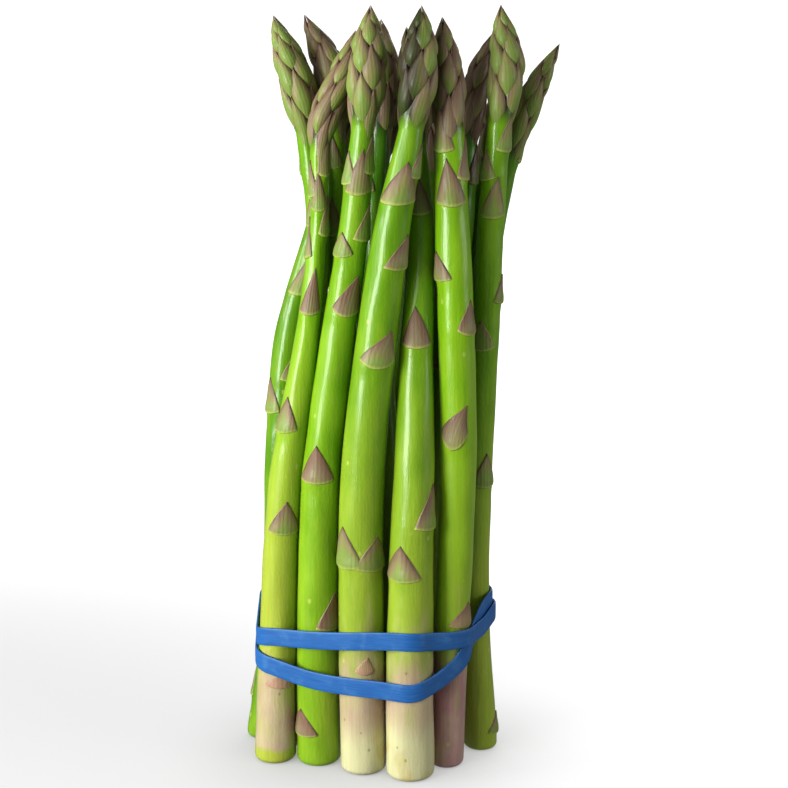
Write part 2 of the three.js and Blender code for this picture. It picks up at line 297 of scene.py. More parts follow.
class Shader:
    """Builds one material's nodes round a Principled shader."""

    def __init__(self, name: str) -> None:
        """Starts a material with an empty Principled shader.

        Args:
            name: the material's name.
        """
        self.material = bpy.data.materials.new(name)
        self.material.use_nodes = True
        self.tree = self.material.node_tree
        self.skin = self.tree.nodes["Principled BSDF"]

    def node(self, kind: str, settings: dict, values: dict, output: int | str = 0) -> Socket:
        """Adds any node.

        Args:
            kind: the node's type.
            settings: its properties, set first.
            values: a number, colour or link for each of its inputs, by name or place.
            output: which output is wanted.

        Returns:
            That output.
        """
        made = self.tree.nodes.new(kind)
        for key, value in settings.items():
            setattr(made, key, value)
        for key, value in values.items():
            self.put(made.inputs[key], value)
        return Socket(self, made.outputs[output])

    def put(self, socket: bpy.types.NodeSocket, value: "Socket | float | Colour") -> None:
        """Links an output to an input, or sets the input's own value.

        Args:
            socket: the input.
            value: an output, a number, a vector or a colour.
        """
        if isinstance(value, Socket):
            self.tree.links.new(value.output, socket)
        elif isinstance(value, tuple) and len(value) == 3 and socket.type == "RGBA":
            socket.default_value = (*value, 1.0)
        else:
            socket.default_value = value

    def mix(self, factor: Socket | float, a: "Socket | Colour", b: "Socket | Colour") -> Socket:
        """Colour from a to b as the factor goes from 0 to 1."""
        return self.node("ShaderNodeMix", {"data_type": "RGBA"}, {0: factor, 6: a, 7: b}, 2)

    def vector(self, operation: str, values: dict, output: str = "Vector") -> Socket:
        """One Vector Math node."""
        return self.node("ShaderNodeVectorMath", {"operation": operation}, values, output)

    def shade(self, colour: Socket, amount: Socket | float) -> Socket:
        """Colour made lighter or darker: times the amount."""
        return self.vector("SCALE", {0: colour, "Scale": amount})

    def field(self, field: Field) -> Socket:
        """A number stored on the mesh's points."""
        return self.node("ShaderNodeAttribute", {"attribute_name": field.value}, {}, "Fac")

    def spot(self) -> Socket:
        """Object coordinates."""
        return self.node("ShaderNodeTexCoord", {}, {}, "Object")

    def place(self, stretch: Point, shift: float = 0.0) -> Socket:
        """Object coordinates, scaled along each axis and moved on by a shift."""
        values = {"Vector": self.spot(), "Scale": stretch, "Location": (shift, shift, shift)}
        return self.node("ShaderNodeMapping", {"vector_type": "POINT"}, values)

    def noise(self, at: Socket, scale: float, detail: float = 2.0, roughness: float = 0.5) -> Socket:
        """Cloudy noise, mostly between 0.3 and 0.7."""
        values = {"Vector": at, "Scale": scale, "Detail": detail, "Roughness": roughness}
        return self.node("ShaderNodeTexNoise", {}, values, "Fac")

    def spots(self, at: Socket, scale: float, size: float) -> Socket:
        """Round spots scattered at random: 1 inside a spot, 0 outside."""
        values = {"Vector": at, "Scale": scale, "Randomness": 1.0}
        return self.node("ShaderNodeTexVoronoi", {}, values, "Distance").between(size, size * 0.5)

    def bump(self, height: Socket, depth: float) -> None:
        """Roughens the surface by a height, in metres when the height is 1."""
        values = {"Height": height, "Distance": depth, "Strength": 1.0}
        self.set(Normal=self.node("ShaderNodeBump", {}, values, "Normal"))

    def set(self, **values: "Socket | float") -> None:
        """Sets the Principled shader's inputs by name, with _ for a space."""
        for key, value in values.items():
            self.put(self.skin.inputs[key.replace("_", " ")], value)


@dataclass(frozen=True)
class SpearSkin:
    """Waxy green skin with mauve scales, paler and pinker towards the cut foot.

    The colours of the stem run from `deep` to `gold` and those of its scales from `scale_green` to
    `margin`. The last three are those of spots and scales' foot lines, of dark marks, also painted
    shade at the margins of scales, and of the painted shade on the core under a head's scales.

    Attributes:
        streak_grain, cloud_grain, blotch_grain, pore_grain: how many of each lie in a metre.
        freckle_grain, fleck_grain: how many dark and light spots lie in a metre.
        relief: height of the fine bumps, in metres.
        roughness, scale_roughness: of the stem, and how much rougher the scales are.
        wax, scale_wax_loss: coat of wax on the stem, and how much less the scales have.
        wax_roughness: roughness of that coat.
        shine: how strongly the skin under it reflects.
        refraction: its index of refraction.
        glow_share, glow_depth: share of the light that goes under the skin, and how deep, in metres.
        light_radius: how far red, green and blue light spread there, as shares.
    """

    deep: Colour = (0.065, 0.20, 0.003)
    bright: Colour = (0.225, 0.45, 0.006)
    lower: Colour = (0.41, 0.46, 0.06)
    tan: Colour = (0.51, 0.42, 0.26)
    violet: Colour = (0.41, 0.215, 0.23)
    pale: Colour = (0.60, 0.585, 0.33)
    gold: Colour = (0.52, 0.38, 0.10)
    scale_green: Colour = (0.215, 0.30, 0.065)
    scale_olive: Colour = (0.26, 0.245, 0.085)
    scale_mauve: Colour = (0.21, 0.125, 0.08)
    scale_grey: Colour = (0.27, 0.235, 0.13)
    scale_pink: Colour = (0.47, 0.29, 0.19)
    margin: Colour = (0.45, 0.40, 0.27)
    foot_line: Colour = (0.55, 0.58, 0.16)
    # Dark marks and scale tips, also painted shade at the margins of scales.
    brown_and_shade: Colour = (0.09, 0.045, 0.025)
    # Painted shade: near-black colour of the core under a head's scales, seen only in the gaps between
    # them.
    core: Colour = (0.03, 0.05, 0.008)
    streak_grain: float = 900.0
    cloud_grain: float = 160.0
    blotch_grain: float = 110.0
    pore_grain: float = 1500.0
    freckle_grain: float = 230.0
    fleck_grain: float = 120.0
    relief: float = 0.00022
    roughness: float = 0.36
    scale_roughness: float = 0.12
    wax: float = 0.35
    scale_wax_loss: float = 0.25
    wax_roughness: float = 0.18
    shine: float = 0.36
    refraction: float = 1.42
    glow_share: float = 0.08
    glow_depth: float = 0.0015
    light_radius: Colour = (0.7, 1.0, 0.25)

    def build(self) -> bpy.types.Material:
        """Makes the material.

        Returns:
            A material that reads the fields on a spear's points.
        """
        shader = Shader("asparagus_skin")
        scale = shader.field(Field.SCALE)
        streaks = shader.noise(shader.place((1.0, 1.0, 0.06)), self.streak_grain, 3.0, 0.6)
        clouds = shader.noise(shader.place((1.0, 1.0, 0.35), 0.3), self.cloud_grain, 3.0)
        stem = self.stem_colour(shader, streaks, clouds)
        leaf = self.scale_colour(shader, streaks, clouds)
        shader.set(
            Base_Color=shader.mix(scale, stem, leaf),
            Roughness=self.roughness + self.scale_roughness * scale + clouds.swing(0.3),
            Specular_IOR_Level=self.shine,
            Coat_Weight=self.wax - self.scale_wax_loss * scale,
            Coat_Roughness=self.wax_roughness,
            Subsurface_Weight=self.glow_share,
            Subsurface_Scale=self.glow_depth,
            Subsurface_Radius=self.light_radius,
            IOR=self.refraction,
        )
        pores = shader.noise(shader.place((1.0, 1.0, 0.5)), self.pore_grain)
        veins = shader.node("ShaderNodeMath", {"operation": "SINE"}, {0: shader.field(Field.GRAIN)})
        shader.bump(streaks * 0.55 + pores * 0.45 + veins * scale * 0.08, self.relief)
        return shader.material

    def stem_colour(self, shader: Shader, streaks: Socket, clouds: Socket) -> Socket:
        """Colour of the stem: deep to bright green, then tan or violet, then pale at the foot.

        Args:
            shader: the material's nodes.
            streaks: fine lengthwise noise.
            clouds: broad noise.

        Returns:
            The colour.
        """
        tone, foot, pale = (shader.field(f) for f in (Field.TONE_AND_SHADE, Field.FOOT, Field.PALE))
        # The tone field here also carries painted shade, set low on spears hidden in the bunch.
        green = shader.mix((tone + clouds.swing(0.9)).clamped(), self.deep, self.bright)
        ripe = (shader.field(Field.RIPE) + clouds.swing(0.5)).clamped()
        green = shader.mix(ripe, green, self.lower)
        blotches = shader.noise(shader.place((1.0, 1.0, 0.6), 0.9), self.blotch_grain, 3.0)
        violet = (shader.field(Field.VIOLET) + blotches.swing(2.2)).clamped()
        blush = shader.mix(violet, self.tan, self.violet)
        blushed = shader.mix((foot + clouds.swing(1.1)).between(0.3, 1.0), green, blush)
        stained = shader.mix(blotches.between(0.55, 0.75) * 0.8, self.pale, self.gold)
        end = shader.mix((pale + blotches.swing(1.1)).between(0.1, 0.9), blushed, stained)
        freckles = shader.spots(shader.place((1.0, 1.0, 0.8), 0.7), self.freckle_grain, 0.13)
        marked = shader.mix(freckles * foot.between(0.2, 0.8) * 0.4, end, self.brown_and_shade)
        flecks = shader.spots(shader.place((1.0, 1.0, 0.7), 0.2), self.fleck_grain, 0.09)
        marked = shader.mix(flecks * 0.5, marked, self.foot_line)
        # Painted shade: the core under a head's scales is painted nearly black.
        marked = shader.mix(shader.field(Field.CORE_SHADE), marked, self.core)
        return shader.shade(marked, 1.0 + streaks.swing(0.3))

    def scale_colour(self, shader: Shader, streaks: Socket, clouds: Socket) -> Socket:
        """Colour of a scale: green at its foot, mauve to its tip, greyer and browner to its margins.

        The browner margins are partly painted shade in the gaps between scales.

        Args:
            shader: the material's nodes.
            streaks: fine lengthwise noise.
            clouds: broad noise.

        Returns:
            The colour.
        """
        along, across, mauve = (shader.field(f) for f in (Field.ALONG, Field.ACROSS, Field.MAUVE))
        drift = clouds.swing(0.9) + mauve.swing(0.9)
        flush = (0.85 * along + 0.45 * across + drift).between(0.05, 0.88)
        tint = 0.7 * along + 0.5 * across + streaks.swing(0.5) + mauve.swing(0.6)
        flushed = shader.mix(tint.between(0.2, 1.0), self.scale_grey, self.scale_mauve)
        leaf = shader.mix(flush.between(0.0, 0.5), self.scale_green, self.scale_olive)
        leaf = shader.mix(flush.between(0.3, 1.0), leaf, flushed)
        leaf = shader.mix(along.between(0.10, 0.0) * 0.7, leaf, self.foot_line)
        # Darker at the margins: partly the scales' own dark edges, partly painted shade in the gaps
        # between them.
        brown_rim_and_shade = across.between(0.70, 0.95) * along.between(0.1, 0.5) * 0.5
        leaf = shader.mix(brown_rim_and_shade, leaf, self.brown_and_shade)
        pale_edge = across.between(0.94, 1.0) * along.between(0.05, 0.4) * 0.6
        leaf = shader.mix(pale_edge, leaf, self.margin)
        leaf = shader.mix(along.between(0.80, 1.0) * 0.6, leaf, self.brown_and_shade)
        low = shader.field(Field.FOOT).between(0.1, 0.7) * (1.0 - 0.6 * along)
        leaf = shader.mix(low, leaf, self.scale_pink)
        # Painted shade: scales darken where the brightness field is below 0.35, on the painted-shadow
        # side of a head and on hidden spears.
        light = 0.20 + 0.80 * shader.field(Field.TONE_AND_SHADE).between(-0.7, 0.35)
        return shader.shade(leaf, light * (1.0 + streaks.swing(0.30)))


@dataclass(frozen=True)
class BandRubber:
    """Smooth blue rubber with fine lengthwise streaks and a faint dusty bloom.

    Attributes:
        blue, dark, bloom: its colour, that of its streaks and that of the dust on it.
        streak_grain: streaks in a millimetre across it, before they are drawn out along it.
        streak_run, streak_rise: how fast their pattern runs along and across it.
        mottle_grain: mottles in a metre.
        relief: height of the fine bumps, in metres.
        roughness, shine: its dullness, and how strongly it reflects.
    """

    blue: Colour = (0.025, 0.148, 0.41)
    dark: Colour = (0.014, 0.108, 0.34)
    bloom: Colour = (0.11, 0.30, 0.55)
    streak_grain: float = 2.6
    streak_run: float = 0.05
    streak_rise: float = 0.9
    mottle_grain: float = 260.0
    relief: float = 0.00006
    roughness: float = 0.46
    shine: float = 0.45

    def build(self) -> bpy.types.Material:
        """Makes the material, whose streaks follow the band.

        Returns:
            The material.
        """
        shader = Shader("blue_rubber")
        along, across = shader.field(Field.ALONG), shader.field(Field.ACROSS)
        pattern = {0: along * self.streak_run, 1: across * self.streak_rise, 2: 0.0}
        at = shader.node("ShaderNodeCombineXYZ", {}, pattern)
        streaks = shader.noise(at, self.streak_grain, 4.0, 0.6)
        mottle = shader.noise(shader.place((1.0, 1.0, 1.0)), self.mottle_grain, 3.0)
        colour = shader.mix(streaks.between(0.3, 0.7), self.dark, self.blue)
        colour = shader.mix(mottle.between(0.5, 0.8) * 0.3, colour, self.bloom)
        roughness = self.roughness + mottle.swing(0.2)
        shader.set(Base_Color=colour, Roughness=roughness, Specular_IOR_Level=self.shine)
        shader.bump(streaks * 0.6 + mottle * 0.4, self.relief)
        return shader.material


@dataclass(frozen=True)
class PaperFloor:
    """White paper that glows, more so towards the distance, with painted shade near the bunch.

    Attributes:
        name: the material's name.
        white: colour of the paper itself.
        near, far: glow within `near_away` and beyond `far_away` metres of its darkest place.
        darkest: where that place of painted shade lies, the other way from the origin, in metres.
            shelter, painted_shadow_samples: how far things standing on the paper cast a painted shadow
                on it, in
            metres, and how many directions are tried for it.
        painted_shadow_loss: how much of the glow the painted shadow takes away right under them.
        roughness, shine: its dullness, and how strongly it reflects.
    """

    name: str
    white: Colour = (0.20, 0.20, 0.20)
    near: Colour = (0.67, 0.67, 0.67)
    far: Colour = (1.15, 1.15, 1.15)
    near_away: float = 0.16
    far_away: float = 0.45
    darkest: Point = (0.20, 0.10, 0.0)
    painted_shadow_reach: float = 0.035
    painted_shadow_samples: int = 12
    painted_shadow_loss: float = 0.5
    roughness: float = 0.85
    shine: float = 0.1

    def build(self) -> bpy.types.Material:
        """Makes the material.

        Returns:
            A material whose glow grows with the distance and falls under what stands on it,
            as a painted shadow.
        """
        shader = Shader(self.name)
        # Painted shade: the glow is dimmest near a place left of and in front of the bunch.
        moved = shader.vector("ADD", {0: shader.spot(), 1: self.darkest})
        away = shader.vector("LENGTH", {0: moved}, "Value")
        glow = shader.mix(away.between(self.near_away, self.far_away), self.near, self.far)
        reach, fineness = {"Distance": self.painted_shadow_reach}, {"samples": self.painted_shadow_samples}
        # Painted contact shadow: the glow falls where things stand close over the paper.
        unshadowed_share = shader.node("ShaderNodeAmbientOcclusion", fineness, reach, "AO")
        glow = shader.shade(glow, (1.0 - self.painted_shadow_loss) + self.painted_shadow_loss * unshadowed_share)
        shader.set(Emission_Color=glow, Emission_Strength=1.0, Base_Color=self.white)
        shader.set(Roughness=self.roughness, Specular_IOR_Level=self.shine)
        return shader.material


# --- spears ---


@dataclass(frozen=True)
class Bract:
    """A pointed scale pressed to the stem.

    Attributes:
        height: height of the two corners of its foot line.
        facing: the way it faces, in degrees.
        length: from those corners up to its tip.
        lean: degrees that its tip lies further round than its foot.
        mauve: how mauve it is; less than 0 for as the spear's other scales.
        half_span: degrees from its middle to a corner of its foot line.
        sag: how far its foot line sags between the corners.
    """

    height: float
    facing: float
    length: float
    lean: float = 0.0
    mauve: float = -1.0
    half_span: float = 58.0
    sag: float = 1.1


class Draw(Enum):
    """What random numbers are drawn for; each purpose has its own on each spear."""

    SKIN = 1
    STEM_SCALES = 2
    HEAD_SCALES = 3


@dataclass(frozen=True)
class Spear:
    """One asparagus spear, grown as one piece, in millimetres.

    Attributes:
        number: its place in the bunch, which also seeds what is random on it.
        x, y: places of the middle of the stem at LEAN_LEVELS.
        girth: stem radius at GIRTH_LEVELS.
        neck, head: radius under the head, and of the head.
        tip: height of the tip.
        bracts: the scales on its stem.
        blush_top, pale_top: heights up to which the stem is blushed, and pale.
        rim_top: height up to which the very foot is green again.
        violet: how violet its blush is, from 0 for tan to 1.
        mauve: how mauve its scales are, from 0 to 1.
        tone: how bright it is, about 0 to 1, lowered as painted shade on hidden spears.
        ripe: how yellow its lower half is, from 0 to 1.
        painted_head_shadow: how deep the painted shadow is on the scales on the left of its head.
        waver, waver_start: size of its unevenness, and height over which that grows from the foot.
        waves: the unevenness as waves round the stem, each with its length up it.
        ridge, ridge_rise, ridge_half: size of the swelling at a scale's foot line, how far it lies over
            the line's corners where that doesn't sag, and its half height.
        ridge_reach: degrees round the stem that a swelling reaches.
        waist, waist_drop, waist_half: size of the waist below it as a share of the swelling, how far
            it lies below, and its half height.
        head_swell, head_closing: share of the head where it is widest, and power of its closing.
        fade_from, fade_to, fade_tail: a blush or paleness fades between these shares of its top
            height, the blush over a tail beyond as well.
        rim_from, rim_to: the same shares for the green rim of the foot.
        least_fade: shortest length of a fade.
        ripe_from, ripe_to: heights between which the yellow fades.
        neck_dark, neck_fade: how much darker the stem is at the neck, and over what length.
    """

    number: int
    x: tuple[float, ...]
    y: tuple[float, ...]
    girth: tuple[float, ...]
    neck: float
    head: float
    tip: float
    bracts: tuple[Bract, ...]
    blush_top: float = 20.0
    pale_top: float = 0.0
    rim_top: float = 0.0
    violet: float = 0.2
    mauve: float = 0.6
    tone: float = 0.6
    ripe: float = 0.5
    painted_head_shadow: float = 0.0
    waver: float = 0.06
    waver_start: float = 6.0
    waves: tuple[tuple[int, float], ...] = ((1, 47.0), (2, 31.0), (3, 22.0), (5, 60.0))
    ridge: float = 0.30
    ridge_rise: float = 1.6
    ridge_half: float = 2.2
    ridge_reach: float = 75.0
    waist: float = 0.4
    waist_drop: float = 5.0
    waist_half: float = 2.5
    head_swell: float = 0.36
    head_closing: float = 2.5
    fade_from: float = 0.3
    fade_to: float = 1.5
    fade_tail: float = 30.0
    rim_from: float = 0.4
    rim_to: float = 1.2
    least_fade: float = 0.1
    ripe_from: float = 20.0
    ripe_to: float = 160.0
    neck_dark: float = 0.15
    neck_fade: float = 60.0

    @property
    def node(self) -> str:
        """Name of the node that the finished spear stands for."""
        return f"spear_{self.number:02d}"

    @property
    def neck_height(self) -> float:
        """Height where the head begins."""
        return self.tip - HEAD_LENGTH

    def stem_radius(self, height: Array) -> Array:
        """Radius of the stem, from foot to neck through the given girths."""
        return smooth_value((*GIRTH_LEVELS, self.neck_height), (*self.girth, self.neck), height)

    def skin_radius(self, height: Array, facing: Array) -> Array:
        """Radius of the stem with the small unevenness of a grown one.

        It swells in a narrow bell just over each scale's foot and is a little waisted below it. It also
        wavers by four slow sines of height and angle, with random phases.

        Args:
            height: heights.
            facing: facings in degrees.

        Returns:
            The radius at each.
        """
        draw = self.random(Draw.SKIN)
        turn = np.radians(facing)
        radius = self.stem_radius(height)
        for count, length in self.waves:
            phase, drift = draw.uniform(0, 2 * pi, 2)
            waver = np.sin(count * turn + phase) * np.sin(2 * pi * height / length + drift)
            radius = radius + self.waver * waver * smoothstep(0, self.waver_start, height)
        for bract in self.bracts:
            near = bell(angle_between(facing, bract.facing), 0, self.ridge_reach)
            foot = bract.height + self.ridge_rise - bract.sag
            waist = self.waist * bell(height, foot - self.waist_drop, self.waist_half)
            radius = radius + self.ridge * near * (bell(height, foot, self.ridge_half) - waist)
        return radius

    def head_radius(self, height: Array) -> Array:
        """Radius of the head over its scales.

        It swells above the neck as a quarter of a sine, and closes to a point as 1 - t^2.5.

        Args:
            height: heights.

        Returns:
            The radius at each.
        """
        t = np.clip((np.asarray(height, float) - self.neck_height) / HEAD_LENGTH, 0, 1)
        opening = np.sin(np.minimum(t / self.head_swell, 1) * pi / 2)
        closing = np.clip((t - self.head_swell) / (1 - self.head_swell), 0, 1)
        closed = self.head * (1 - closing**self.head_closing)
        return np.where(t < self.head_swell, self.neck + (self.head - self.neck) * opening, closed)

    def point(self, height: Array, facing: Array, distance: Array) -> Array:
        """Point at a height, a facing and a distance from the middle of the spear.

        Args:
            height: heights.
            facing: facings in degrees.
            distance: distances from the middle line.

        Returns:
            The points, shaped as the three arrays together, with x, y, z last.
        """
        height, facing, distance = np.broadcast_arrays(height, facing, distance)
        turn = np.radians(facing)
        x = smooth_value(LEAN_LEVELS, self.x, height) - BUNCH_MIDDLE[0] + distance * np.sin(turn)
        y = smooth_value(LEAN_LEVELS, self.y, height) - BUNCH_MIDDLE[1] - distance * np.cos(turn)
        return np.stack([x, y, height], axis=-1)

    def random(self, purpose: Draw) -> np.random.Generator:
        """Random numbers of this spear for one purpose, the same on each run."""
        return np.random.default_rng(1000 * purpose.value + self.number)

    def tints(self, height: Array) -> dict[Field, Array | float]:
        """Fields of the skin: blushed and pale towards the foot, and a little darker at the neck.

        Args:
            height: heights.

        Returns:
            Each field's numbers at them, or its one number.
        """
        foot = 1 - self.fade(self.blush_top, self.fade_from, self.fade_to, self.fade_tail, height)
        rim = self.fade(self.rim_top, self.rim_from, self.rim_to, self.least_fade, height)
        pale = 1 - self.fade(self.pale_top, self.fade_from, self.fade_to, self.least_fade, height)
        upper = smoothstep(self.neck_height - self.neck_fade, self.neck_height, height)
        return {
            Field.FOOT: (foot * rim if self.rim_top else foot) * (self.blush_top > 0),
            Field.PALE: pale * (self.pale_top > 0),
            Field.VIOLET: self.violet,
            Field.TONE_AND_SHADE: self.tone - self.neck_dark * upper,
            Field.RIPE: self.ripe * (1 - smoothstep(self.ripe_from, self.ripe_to, height)),
            Field.MAUVE: self.mauve,
        }

    @staticmethod
    def fade(top: float, start: float, end: float, tail: float, height: Array) -> Array:
        """S-curve from 0 to 1 between two shares of a top height, the second with a tail added."""
        return smoothstep(start * top, end * top + tail, height)


@dataclass(frozen=True)
class Stem:
    """Makes the smooth stem of a spear, with the slim core of its head.

    Attributes:
        sides: points in a ring.
        step: height from ring to ring of the shaft.
        foot_bevel, bevel_rings: radius of the rounding at the cut foot, and its rings.
        core_share: how thick the core is, as a share of the head's radius.
        core_neck: height over which the stem narrows to the core.
        core_stop, core_rings: how far under the tip the core ends, and its rings.
        shade_from, shade_to: heights over the neck where the painted shade under the scales begins
        and is full.
    """

    sides: int = 52
    step: float = 1.3
    foot_bevel: float = 1.8
    bevel_rings: int = 9
    core_share: float = 0.70
    core_neck: float = 8.0
    core_stop: float = 2.5
    core_rings: int = 26
    shade_from: float = -1.0
    shade_to: float = 5.0

    def build(self, spear: Spear) -> Tube:
        """Carries a nearly round ring up the spear's leaning middle line.

        The radius is that of the stem's uneven skin, rounded over at the cut foot by a quarter circle.

        Args:
            spear: whose stem it is.

        Returns:
            The closed surface from cut foot to tip.
        """
        neck, round_foot = spear.neck_height, self.foot_bevel
        bevel = round_foot * (1 - np.cos(np.linspace(0, pi / 2, self.bevel_rings)))
        shaft = np.arange(round_foot + self.step, neck, self.step)
        core = np.linspace(neck, spear.tip - self.core_stop, self.core_rings)
        height = np.concatenate([bevel, shaft, core])[:, None]
        facing = np.linspace(0, 360, self.sides, endpoint=False)[None, :]
        share = 1 - (1 - self.core_share) * smoothstep(neck, neck + self.core_neck, height)
        head, skin = share * spear.head_radius(height), spear.skin_radius(height, facing)
        inset = round_foot - np.sqrt(np.maximum(round_foot**2 - (round_foot - height) ** 2, 0))
        radius = np.where(height >= neck, head, skin) - np.where(height < round_foot, inset, 0)
        # Painted shade: marks the core under the head's scales to be painted dark.
        shade_under_scales = smoothstep(neck + self.shade_from, neck + self.shade_to, height)
        fields = spear.tints(height) | {Field.CORE_SHADE: shade_under_scales}
        return Tube(spear.point(height, facing, radius), fields)


def there_and_back(over: Array) -> tuple[Array, Array]:
    """Places of a ring that runs over a scale and back inside it, and whether each is inside."""
    across = np.concatenate([over, over[-2:0:-1]])[None, :]
    return across, (np.arange(across.size) >= over.size)[None, :]


@dataclass(frozen=True)
class StemScales:
    """Makes the pointed scales pressed to a stem.

    Attributes:
        proud, margin_proud: what a scale's middle and its margins stand off the stem.
        sunk: how deep its inner side lies in the stem.
        lip, lip_start: share of its length over which it rises at its foot line, and share of its
            proudness that it starts with.
        thinning, shallowing: how much less proud and less sunk it is at its tip, as shares.
        crowding: power that brings its rows closer together at its foot.
        veins: how close its veins lie.
        lean_spread: degrees by which its tip may lie further round or less.
        length_spread: least and most that its length is multiplied by.
        rows, columns: points along and across its outer side.
    """

    proud: float = 0.5
    margin_proud: float = 0.14
    sunk: float = 0.55
    lip: float = 0.035
    lip_start: float = 0.1
    thinning: float = 0.4
    shallowing: float = 0.6
    crowding: float = 1.3
    veins: float = 30.0
    lean_spread: float = 5.0
    length_spread: tuple[float, float] = (0.97, 1.06)
    rows: int = 22
    columns: int = 21

    def build(self, spear: Spear) -> list[Tube]:
        """One closed surface for each of the spear's bracts, with its root inside the stem."""
        draw = spear.random(Draw.STEM_SCALES)
        return [self.scale(spear, bract, draw) for bract in spear.bracts]

    def scale(self, spear: Spear, bract: Bract, draw: np.random.Generator) -> Tube:
        """Wraps a pointed arch on the stem.

        Its half-width falls as 1 - v^1.3 from the foot line (v = 0) to the tip (v = 1), and its middle
        leans round as v^1.5. Each ring runs over the scale from margin to margin and back inside the
        stem. The outer side stands off the stem by a half ellipse across the scale, which rises in a
        quarter circle over the lip at the foot line. The foot line sags between its two corners as
        1 - u^2.

        Args:
            spear: whose scale it is.
            bract: its place and length.
            draw: random numbers.

        Returns:
            The closed surface.
        """
        along = np.linspace(0, 1, self.rows)[:, None] ** self.crowding
        across, inner = there_and_back(np.linspace(-1, 1, self.columns))
        width = 1 - along**1.3
        lean = bract.lean + draw.uniform(-self.lean_spread, self.lean_spread)
        facing = bract.facing + across * width * bract.half_span + lean * along**1.5
        length = bract.length * draw.uniform(*self.length_spread)
        height = bract.height + length * along - bract.sag * (1 - across**2) * (1 - along) ** 2
        rise = np.sqrt(1 - (1 - np.minimum(along / self.lip, 1)) ** 2)
        hump, more = np.sqrt(np.maximum(1 - across**2, 0)), self.proud - self.margin_proud
        stand = self.margin_proud + more * hump * (1 - self.thinning * along)
        stand = stand * (self.lip_start + (1 - self.lip_start) * rise)
        stand = np.where(inner, -self.sunk * (1 - self.shallowing * along), stand)
        rings = spear.point(height, facing, spear.skin_radius(height, facing) + stand)
        fields = spear.tints(height) | {
            Field.SCALE: smoothstep(0.0, 0.02, along),
            Field.ALONG: along,
            Field.ACROSS: np.abs(across),
            Field.GRAIN: across * width * self.veins,
            Field.MAUVE: spear.mauve if bract.mauve < 0 else bract.mauve,
        }
        return Tube(rings, fields)


